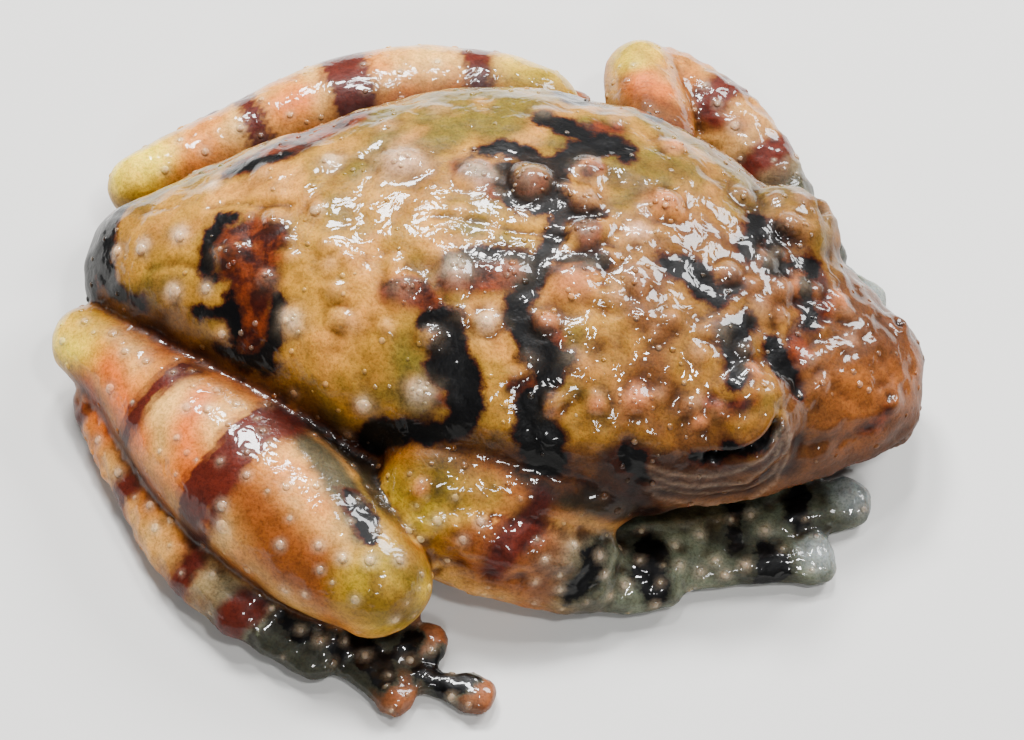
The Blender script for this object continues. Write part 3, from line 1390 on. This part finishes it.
# %% [markdown]
# ## The material of the skin
# Wet frog skin is a thin clear film over granular, slightly see-through flesh. A Principled shader gives
# the flesh its subsurface glow. Its coat is the film, as strong as the value kept on the skin says. Bump
# breaks the film into small facets, so the light on it shows as many crisp flecks and not as a soft spot.

# %% Colours by eye


def tone(red, green_part, blue):
    """A colour given as it looks on screen, 0 to 255, as linear light."""
    return (*((channel / 255) ** 2.2 for channel in (red, green_part, blue)), 1.0)


OCHRE = tone(182, 128, 42)
OLIVE = tone(110, 92, 30)
TAN = tone(206, 138, 56)
BROWN = tone(96, 56, 26)
SALMON = tone(216, 130, 46)
CREAM = tone(228, 170, 88)
AMBER_BROWN = tone(130, 70, 28)
EMBER_ORANGE = tone(220, 108, 34)
LEMON = tone(255, 218, 42)
MOSS = tone(104, 84, 14)
GLASS_GREY = tone(106, 110, 90)
GLASS_DARK = tone(56, 56, 46)
DISC_GREY = tone(140, 147, 146)
ORANGE = tone(140, 80, 34)
RUSSET = tone(84, 48, 24)
WART_ORANGE = tone(206, 106, 46)
BELLY = tone(130, 92, 62)
RUST_RED = tone(112, 48, 20)
RUST_DARK = tone(52, 18, 9)
MAROON_BROWN = tone(84, 32, 22)
BLACK_RIM = tone(62, 27, 13)
SHADE_BROWN = tone(60, 36, 24)
WET_OLIVE = tone(78, 70, 50)
BLACK = tone(7, 6, 8)
WHITISH = tone(246, 214, 178)
GLASSY_BROWN = tone(96, 54, 28)
# What creases, the seams between limbs and body, and the lowest parts take away from the colour.
CREASE_TINT = (0.3, 0.22, 0.18, 1.0)
SEAM_TINT = (0.26, 0.16, 0.11, 1.0)
LOW_TINT = (0.74, 0.6, 0.5, 1.0)
print("ochre as linear light:", [round(channel, 3) for channel in OCHRE[:3]])

# %% Small helpers for node trees


def add(tree, kind, **values):
    """A node with its inputs set by name: a number or colour is set, a socket is linked."""
    made = tree.nodes.new(kind)
    for key, value in values.items():
        key = key.replace("_", " ")
        inputs = [s for s in made.inputs if s.name == key and s.enabled] if key in made.inputs else []
        if not inputs:
            setattr(made, key.replace(" ", "_"), value)
        elif isinstance(value, bpy.types.NodeSocket):
            tree.links.new(value, inputs[0])
        else:
            inputs[0].default_value = value
    return made


def value_of(tree, name):
    """A value that is kept on the skin's points."""
    return add(tree, "ShaderNodeAttribute", attribute_name=name).outputs["Fac"]


def fed(tree, made, rows):
    """Fills inputs by their index: a socket is linked, and a number or colour is set."""
    for index, value in rows:
        if isinstance(value, bpy.types.NodeSocket):
            tree.links.new(value, made.inputs[index])
        else:
            made.inputs[index].default_value = value
    return made


def sum_of(tree, kind, first, second=0.0):
    """A sum, difference or product of two values."""
    return fed(tree, add(tree, "ShaderNodeMath", operation=kind), enumerate((first, second))).outputs[0]


def between(tree, value, low, high, to_low=0.0, to_high=1.0):
    """Maps low to high of a value smoothly onto a share."""
    made = add(tree, "ShaderNodeMapRange", interpolation_type="SMOOTHSTEP")
    for name, number in (("From Min", low), ("From Max", high), ("To Min", to_low), ("To Max", to_high)):
        made.inputs[name].default_value = number
    tree.links.new(value, made.inputs["Value"])
    return made.outputs["Result"]


# A Mix node lists its inputs and outputs for every type of data. These are the ones for colours.
MIX_SHARE, MIX_FIRST, MIX_SECOND, MIX_RESULT = 0, 6, 7, 2


def mixed(tree, share, first, second, kind="MIX"):
    """The second colour over the first, by a share."""
    made = add(tree, "ShaderNodeMix", data_type="RGBA", blend_type=kind)
    fed(tree, made, ((MIX_SHARE, share), (MIX_FIRST, first), (MIX_SECOND, second)))
    return made.outputs[MIX_RESULT]


def grain(tree, size, detail=2.0, rough=0.5, warp=0.0, offset=0.0):
    """Noise with features of a given size in millimetres, from 0 to 1."""
    place = add(tree, "ShaderNodeTexCoord").outputs["Object"]
    shifted = add(tree, "ShaderNodeMapping", Vector=place, Location=(offset, 0, 0)).outputs[0]
    made = add(tree, "ShaderNodeTexNoise", Vector=shifted, Detail=detail, Roughness=rough, Distortion=warp)
    made.inputs["Scale"].default_value = 1 / (size * MM)
    return made.outputs["Fac"]


# %% [markdown]
# The colour is a stack of layers, as a painter would lay them: the ground, the soft colours, the markings,
# the warts and last the darker creases. A marking's edge is drawn here from its depth and a fine noise.

# %% The colour of the skin


def skin_colour(tree):
    """The colour of the skin: each layer lies over the ones before it."""
    ragged = sum_of(tree, "SUBTRACT", grain(tree, 0.55, 4.0, 0.65), 0.5)

    def inside(name, swing, softness, grow=0.0):
        """The share of a marking, with an edge that noise pushes to and fro."""
        depth = sum_of(tree, "ADD", value_of(tree, name), sum_of(tree, "MULTIPLY", ragged, swing))
        return between(tree, depth, -softness - grow, softness - grow)

    def over(below, name, tint):
        """A tint over what lies below, by the value of that name."""
        return mixed(tree, value_of(tree, name), below, tint)

    swell = value_of(tree, "swell")
    drift = value_of(tree, "drift")
    colour = mixed(tree, between(tree, swell, 0.2, 0.6), OLIVE, OCHRE)
    colour = mixed(tree, between(tree, drift, 0.5, 0.9), colour, TAN)
    colour = over(colour, "brown", BROWN)
    legs = mixed(tree, between(tree, drift, 0.15, 0.75), SALMON, CREAM)
    legs = over(over(legs, "amber", AMBER_BROWN), "ember", EMBER_ORANGE)
    flesh = mixed(tree, between(tree, swell, 0.3, 0.9), RUSSET, ORANGE)
    lemon = mixed(tree, value_of(tree, "green"), LEMON, MOSS)
    glassy = mixed(tree, between(tree, drift, 0.25, 0.8), GLASS_DARK, GLASS_GREY)
    glassy = over(glassy, "disc", DISC_GREY)
    shaded = mixed(tree, value_of(tree, "limb"), SHADE_BROWN, WET_OLIVE)
    for name, tint in (
        ("limb", legs),
        ("snout", flesh),
        ("yellow", lemon),
        ("grey", glassy),
        ("belly", BELLY),
        ("orange", WART_ORANGE),
        ("shade", shaded),
    ):
        colour = over(colour, name, tint)
    rusty = mixed(tree, between(tree, grain(tree, 0.9, 3.0, 0.6), 0.4, 0.62), RUST_DARK, RUST_RED)
    colour = mixed(tree, inside("rust", 0.6, 0.3), colour, rusty)
    colour = mixed(tree, inside("maroon", 0.4, 0.36), colour, MAROON_BROWN)
    rim = mixed(tree, value_of(tree, "grey"), BLACK_RIM, GLASS_DARK)
    colour = mixed(tree, inside("dark", 1.1, 0.2, 0.2), colour, rim)
    colour = mixed(tree, inside("dark", 1.0, 0.08), colour, BLACK)
    colour = over(over(colour, "glassy", GLASSY_BROWN), "whitish", WHITISH)
    mottle = between(tree, ragged, -0.16, 0.16, 0.74, 1.08)
    specks = between(tree, grain(tree, 0.12, 2.0, 0.7), 0.32, 0.6, 0.66, 1.0)
    for shades in (mottle, specks):
        colour = mixed(tree, 1.0, colour, shades, "MULTIPLY")
    for name, tint in (("crease", CREASE_TINT), ("seam", SEAM_TINT), ("low", LOW_TINT)):
        colour = over(colour, name, mixed(tree, 1.0, colour, tint, "MULTIPLY"))
    return over(colour, "slit", BLACK)


# %% The wet film and the shader
GLOW = (1.0, 0.42, 0.18)
GLOW_REACH = 0.6 * MM
WET_SKIN = {
    "Roughness": 0.45,
    "Specular IOR Level": 0.12,
    "Subsurface Weight": 0.35,
    "Subsurface Radius": GLOW,
    "Subsurface Scale": GLOW_REACH,
    "Coat Roughness": 0.04,
    "Coat IOR": 1.36,
}
# The depth in millimetres of the flesh's grain and of the film's facets.
GRAIN_DEEP = 0.03
FACET_DEEP = 0.07


def finished(name, finish):
    """A new material with the numbers of its finish set on the shader's own sockets."""
    made = bpy.data.materials.new(name)
    made.use_nodes = True
    shader = made.node_tree.nodes["Principled BSDF"]
    for socket, value in finish.items():
        shader.inputs[socket].default_value = value
    return made, made.node_tree, shader


def bumped(tree, height, deep):
    return add(tree, "ShaderNodeBump", Strength=1.0, Distance=deep * MM, Height=height).outputs["Normal"]


def wet_skin(name):
    made, tree, shader = finished(name, WET_SKIN)
    flesh = bumped(tree, grain(tree, 0.24, 2.0, 0.6), GRAIN_DEEP)
    film = bumped(tree, grain(tree, 0.75, 1.5, 0.5, 1.0, 3.0), FACET_DEEP)
    tree.links.new(skin_colour(tree), shader.inputs["Base Color"])
    tree.links.new(flesh, shader.inputs["Normal"])
    tree.links.new(film, shader.inputs["Coat Normal"])
    tree.links.new(value_of(tree, "wet"), shader.inputs["Coat Weight"])
    return made


skin_material = wet_skin("wet_frog_skin")
mesh.materials.clear()
mesh.materials.append(skin_material)
print("skin material:", len(skin_material.node_tree.nodes), "nodes")

# %% [markdown]
# ## Small warts and granules
# Hundreds of small glassy beads sit on the skin: whitish pimples in loose rows along the legs, granules
# in clusters on the big warts and over the head. Geometry Nodes set a small ball on each of a list of
# points, turned to the skin and sized by the point's own radius, and realize the copies.

# %% A tree of nodes that sets beads on points


def bead_tree():
    """Sets a ball on each point, turned along its "up" and sized by its "radius"."""
    tree = bpy.data.node_groups.new("beads_on_points", "GeometryNodeTree")
    face = tree.interface
    face.new_socket("Geometry", in_out="INPUT", socket_type="NodeSocketGeometry")
    for label, kind, value in (
        ("Sides", "NodeSocketInt", 10),
        ("Rings", "NodeSocketInt", 6),
        ("Height", "NodeSocketFloat", 0.8),
    ):
        face.new_socket(label, in_out="INPUT", socket_type=kind).default_value = value
    face.new_socket("Material", in_out="INPUT", socket_type="NodeSocketMaterial")
    face.new_socket("Geometry", in_out="OUTPUT", socket_type="NodeSocketGeometry")
    start = tree.nodes.new("NodeGroupInput")
    end = tree.nodes.new("NodeGroupOutput")

    def own(name, kind):
        made = tree.nodes.new("GeometryNodeInputNamedAttribute")
        made.data_type = kind
        made.inputs["Name"].default_value = name
        return made.outputs["Attribute"]

    bead = add(tree, "GeometryNodeMeshUVSphere", Segments=start.outputs["Sides"], Radius=1.0)
    tree.links.new(start.outputs["Rings"], bead.inputs["Rings"])
    turned = tree.nodes.new("FunctionNodeAlignRotationToVector")
    turned.axis = "Z"
    tree.links.new(own("up", "FLOAT_VECTOR"), turned.inputs["Vector"])
    radius = own("radius", "FLOAT")
    high = sum_of(tree, "MULTIPLY", radius, start.outputs["Height"])
    size = tree.nodes.new("ShaderNodeCombineXYZ")
    for socket, value in zip(size.inputs, (radius, radius, high)):
        tree.links.new(value, socket)
    copies = add(tree, "GeometryNodeInstanceOnPoints", Points=start.outputs["Geometry"])
    tree.links.new(bead.outputs["Mesh"], copies.inputs["Instance"])
    tree.links.new(turned.outputs["Rotation"], copies.inputs["Rotation"])
    tree.links.new(size.outputs[0], copies.inputs["Scale"])
    real = add(tree, "GeometryNodeRealizeInstances", Geometry=copies.outputs["Instances"])
    smooth = add(tree, "GeometryNodeSetShadeSmooth", Geometry=real.outputs["Geometry"])
    dressed = add(tree, "GeometryNodeSetMaterial", Geometry=smooth.outputs[0])
    tree.links.new(start.outputs["Material"], dressed.inputs["Material"])
    tree.links.new(dressed.outputs["Geometry"], end.inputs["Geometry"])
    return tree


beads_on_points = bead_tree()
print("bead tree:", len(beads_on_points.nodes), "nodes")

# %% [markdown]
# Where the beads go is worked out beforehand: pimples that the picture shows, granules on the big warts,
# and seeded ones spread over open skin. A bead keeps clear of the others and of the floor.

# %% Places of the beads
# Whitish pimples that show in the picture: x, y and radius in pixels.
PIMPLES = (
    (117, 251, 6), (141, 249, 6), (179, 237, 6), (175, 292, 7), (206, 289, 6), (315, 210, 6),
    (364, 408, 9), (347, 435, 6), (222, 335, 5), (294, 394, 5), (85, 321, 5), (113, 333, 6),
    (125, 351, 5), (146, 361, 5), (177, 358, 5), (110, 389, 6), (187, 407, 6), (208, 409, 6),
    (217, 390, 5), (267, 404, 6), (237, 404, 5), (222, 527, 8), (222, 506, 6), (280, 545, 5),
    (98, 440, 5), (118, 473, 5), (139, 472, 4), (150, 505, 5), (155, 528, 5), (213, 574, 4),
    (170, 520, 4), (305, 595, 4), (320, 570, 4), (370, 560, 6), (355, 600, 5), (400, 560, 5),
    (420, 540, 5), (395, 620, 5), (343, 558, 6), (203, 545, 4), (247, 570, 5), (285, 590, 5),
    (437, 521, 6), (463, 540, 5), (481, 522, 5), (447, 560, 4), (408, 530, 5), (534, 603, 4),
    (535, 582, 4), (560, 575, 4), (610, 596, 4), (605, 575, 4), (680, 565, 5), (700, 572, 5),
    (715, 560, 5), (725, 575, 5), (620, 548, 5), (625, 585, 5), (640, 560, 4), (675, 545, 5),
    (690, 590, 4), (700, 535, 5), (745, 565, 5), (655, 605, 4), (765, 530, 5), (600, 555, 5),
    (575, 545, 4), (560, 590, 4), (545, 560, 4), (320, 640, 5), (345, 640, 4), (365, 655, 5),
    (410, 660, 5), (430, 650, 5), (300, 630, 4), (272, 608, 4), (240, 128, 5), (205, 152, 5),
    (180, 140, 4), (165, 170, 5), (195, 172, 4), (290, 115, 4), (400, 72, 4), (437, 62, 4),
    (735, 126, 6), (705, 85, 4),
)
# How whitish a pimple of the picture is, and the most seeded beads on limbs, body and each big wart.
PIMPLE_PALE = 0.6
SCATTER_TRIES = 9000
LEG_BEADS = 230
BODY_BEADS = 260
CLUSTER_BEADS = 7
CLUSTER_WART = 0.5
CLUSTER_SPREAD = 0.45
CLUSTER_LIFT = 0.4
# Beads stay off what faces down, the floor, the slit and the nostrils, by these limits in millimetres.
FACES_DOWN = -0.35
OFF_FLOOR = 0.5
OFF_SLIT = 0.7
OFF_NOSTRIL = 0.6


def nearest_on_skin(place):
    """The nearest place on the skin and its normal."""
    found, normal, _, _ = skin_tree.find_nearest(Vector(place))
    return np.array(found), np.array(normal)


def clear(place, radius, taken, spacing):
    """Says whether a bead keeps its distance, in sums of two radii, from all that are there."""
    return all(np.linalg.norm(place - other) > spacing * (radius + size) for other, _, size, _ in taken)


pimples = []
for x, y, radius in PIMPLES:
    hit = seen(x, y)
    if hit:
        pimples.append((*nearest_on_skin(hit[0]), radius / VIEW_SCALE, PIMPLE_PALE))
granules = []
for centre, radius, _ in big_warts:
    for _ in range(CLUSTER_BEADS if radius > CLUSTER_WART else 0):
        way = np.array([random.gauss(0, CLUSTER_SPREAD) for _ in range(3)]) * radius
        place, normal = nearest_on_skin(centre + way + np.array((0, 0, CLUSTER_LIFT * radius)))
        size = random.uniform(0.08, 0.17)
        if clear(place, size, granules, 0.9):
            granules.append((place, normal, size, random.uniform(0.0, 0.3)))
open_skin = (normals[:, 2] >= FACES_DOWN) & (points[:, 2] >= OFF_FLOOR)
open_skin &= (slit_away >= OFF_SLIT) & (nostril_away >= OFF_NOSTRIL)
legs_left, body_left = LEG_BEADS, BODY_BEADS
for face in random.choices(range(len(faces)), k=SCATTER_TRIES):
    index = faces[face][0]
    place, normal = points[index], normals[index]
    if not open_skin[index]:
        continue
    if body[index]:
        size = random.uniform(0.07, 0.16)
        if body_left and clear(place, size, granules, 1.6) and clear(place, size, pimples, 1.3):
            granules.append((place, normal, size, random.uniform(0.0, 0.2)))
            body_left -= 1
    else:
        size = random.uniform(0.08, 0.2)
        if legs_left and clear(place, size, pimples, 2.2):
            pimples.append((place, normal, size, random.uniform(0.2, 0.55)))
            legs_left -= 1
print("pimples:", len(pimples), "granules:", len(granules))

# %% A pale halo in the skin round each pimple
# The halo's reach in radii of the pimple, and its share of the pimple's white.
HALO = 1.7
HALO_SHARE = 0.55
halo = tints["whitish"]
halo_guide = KDTree(count)
for index, point in enumerate(points):
    halo_guide.insert(point, index)
halo_guide.balance()
for place, _, radius, pale in pimples:
    for _, index, away in halo_guide.find_range(place, 2 * radius):
        share = HALO_SHARE * pale * math.exp(-((away / (radius * HALO)) ** 2) * 2)
        halo[index] = max(halo[index], share)
keep(mesh, "whitish", halo)
print("share of skin that is whitish:", round(float((halo > 0.1).mean()), 3))

# %% Beads as a mesh with the colours of the skin under them
# How deep a bead is sunk, in radii, and where its white begins and is full, in radii above the skin.
BEAD_SUNK = 0.15
PALE_FROM = (-0.1, 0.6)


def set_input(modifier, label, value):
    """Sets a named input of a Geometry Nodes modifier by the identifier of its socket."""
    sockets = modifier.node_group.interface.items_tree
    socket = next(s for s in sockets if s.name == label and s.in_out == "INPUT")
    modifier[socket.identifier] = value


def beads_from(name, spots, height):
    """One mesh of beads: each spot is a place, a normal, a radius and how whitish it is."""
    roots, ups, radii, pale = (np.array(column) for column in zip(*spots))
    seeds = bpy.data.meshes.new(name)
    seeds.from_pydata(placed(roots - ups * radii[:, None] * BEAD_SUNK).tolist(), [], [])
    keep(seeds, "radius", radii * MM)
    up = seeds.attributes.new("up", "FLOAT_VECTOR", "POINT")
    up.data.foreach_set("vector", ups.astype(np.float32).ravel())
    obj = bpy.data.objects.new(name, seeds)
    bpy.context.scene.collection.objects.link(obj)
    modifier = obj.modifiers.new("beads", "NODES")
    modifier.node_group = beads_on_points
    set_input(modifier, "Height", height)
    set_input(modifier, "Material", skin_material)
    obj.data = evaluated(obj)
    own = (read(obj.data.vertices, "co", 3) - SHIFT) / MM
    nearest = np.array([halo_guide.find(point)[1] for point in own])
    for key, values in SKIN_VALUES.items():
        keep(obj.data, key, values[nearest])
    bead = np.arange(len(own)) // (len(own) // len(spots))
    rise = ((own - roots[bead]) * ups[bead]).sum(axis=1) / radii[bead]
    white = pale[bead] * fade(rise, *PALE_FROM)
    keep(obj.data, "whitish", np.maximum(white, tints["whitish"][nearest]))
    keep(obj.data, "crease", np.zeros(len(own)))
    print(name, triangles(obj.data), "triangles")
    return obj


PIMPLE_HIGH = 0.5
GRANULE_HIGH = 0.6
bead_pieces = [
    beads_from("skin_pimples", pimples, PIMPLE_HIGH),
    beads_from("skin_granules", granules, GRANULE_HIGH),
]

# %% [markdown]
# ## Eyes
# The closed lids leave only a dark, wet slit, with the eye itself deep inside. The eyes stay separate
# pieces. Their solids keep their places and get a dark, glossy finish.

# %% Eyes
WET_EYE = {"Roughness": 0.08, "Coat Weight": 1.0, "Coat Roughness": 0.02}
dark_eye, eye_tree, eye_shader = finished("dark_eye", WET_EYE)
iris = mixed(eye_tree, grain(eye_tree, 0.3, 3.0), tone(16, 12, 12), tone(58, 36, 22))
eye_tree.links.new(iris, eye_shader.inputs["Base Color"])
for _, word in SIDES:
    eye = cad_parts[f"eye_{word}"]
    eye.data.materials.clear()
    eye.data.materials.append(dark_eye)
    print(eye.name, "keeps its solid,", triangles(eye.data), "triangles")

# %% [markdown]
# ## Floor and light
# A plain pale floor carries the frog. Three soft boxes behind and above it give the bright flecks on the
# wet back and head, and a small one lights the middle of the back. Two weaker ones fill the near side.

# %% Floor and light
FLOOR_HALF = 3.0
ground = bpy.data.meshes.new("floor")
corners = [(x * FLOOR_HALF, y * FLOOR_HALF, 0.0) for x, y in ((-1, -1), (1, -1), (1, 1), (-1, 1))]
ground.from_pydata(corners, [], [(0, 1, 2, 3)])
floor = bpy.data.objects.new("floor", ground)
bpy.context.scene.collection.objects.link(floor)
pale_floor, _, _ = finished("pale_floor", {"Base Color": tone(196, 195, 192), "Roughness": 0.7})
ground.materials.append(pale_floor)
floor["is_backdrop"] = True

# Each lamp: where it stands in millimetres, its width and height in millimetres, and its power in watts.
LAMPS = (
    ("back_box", (-90, 150, 245), 70, 56, 1.55),
    ("top_box", (-8, 165, 250), 42, 32, 0.62),
    ("head_box", (140, 165, 190), 98, 84, 1.1),
    ("front_box", (50, -230, 210), 46, 34, 0.36),
    ("side_box", (95, -60, 250), 30, 22, 0.38),
    ("middle_box", (-16, 83, 251), 26, 19, 0.24),
)
for name, place, wide, high, power in LAMPS:
    lamp = bpy.data.objects.new(name, bpy.data.lights.new(name, "AREA"))
    lamp.data.shape = "RECTANGLE"
    lamp.data.size = wide * MM
    lamp.data.size_y = high * MM
    lamp.data.energy = power
    lamp.location = placed(place)
    lamp.rotation_euler = (VIEW_TARGET - Vector(place)).to_track_quat("-Z", "Y").to_euler()
    bpy.context.scene.collection.objects.link(lamp)
# The room itself gives a little cool light from all sides.
ROOM_LIGHT = {"Color": (0.9, 0.93, 1.0, 1.0), "Strength": 0.085}
world = bpy.data.worlds.new("studio")
world.use_nodes = True
for socket, value in ROOM_LIGHT.items():
    world.node_tree.nodes["Background"].inputs[socket].default_value = value
bpy.context.scene.world = world
print("lamps:", len(LAMPS), "with", round(sum(lamp[-1] for lamp in LAMPS), 2), "watts in all")

# %% [markdown]
# ## Hand over
# The skin stands for every node of flesh, and everything rides on the one body, because nothing moves.

# %% Ride, replace and finish
flesh_nodes = [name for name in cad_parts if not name.startswith("eye")]
for piece in (skin, *bead_pieces):
    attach(piece, "root")
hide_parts(*flesh_nodes)
low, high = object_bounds()
{"cad": [list(cad_low), list(cad_high)], "visual": [list(low), list(high)]}
print("size in mm:", [round(1000 * s, 2) for s in high - low])
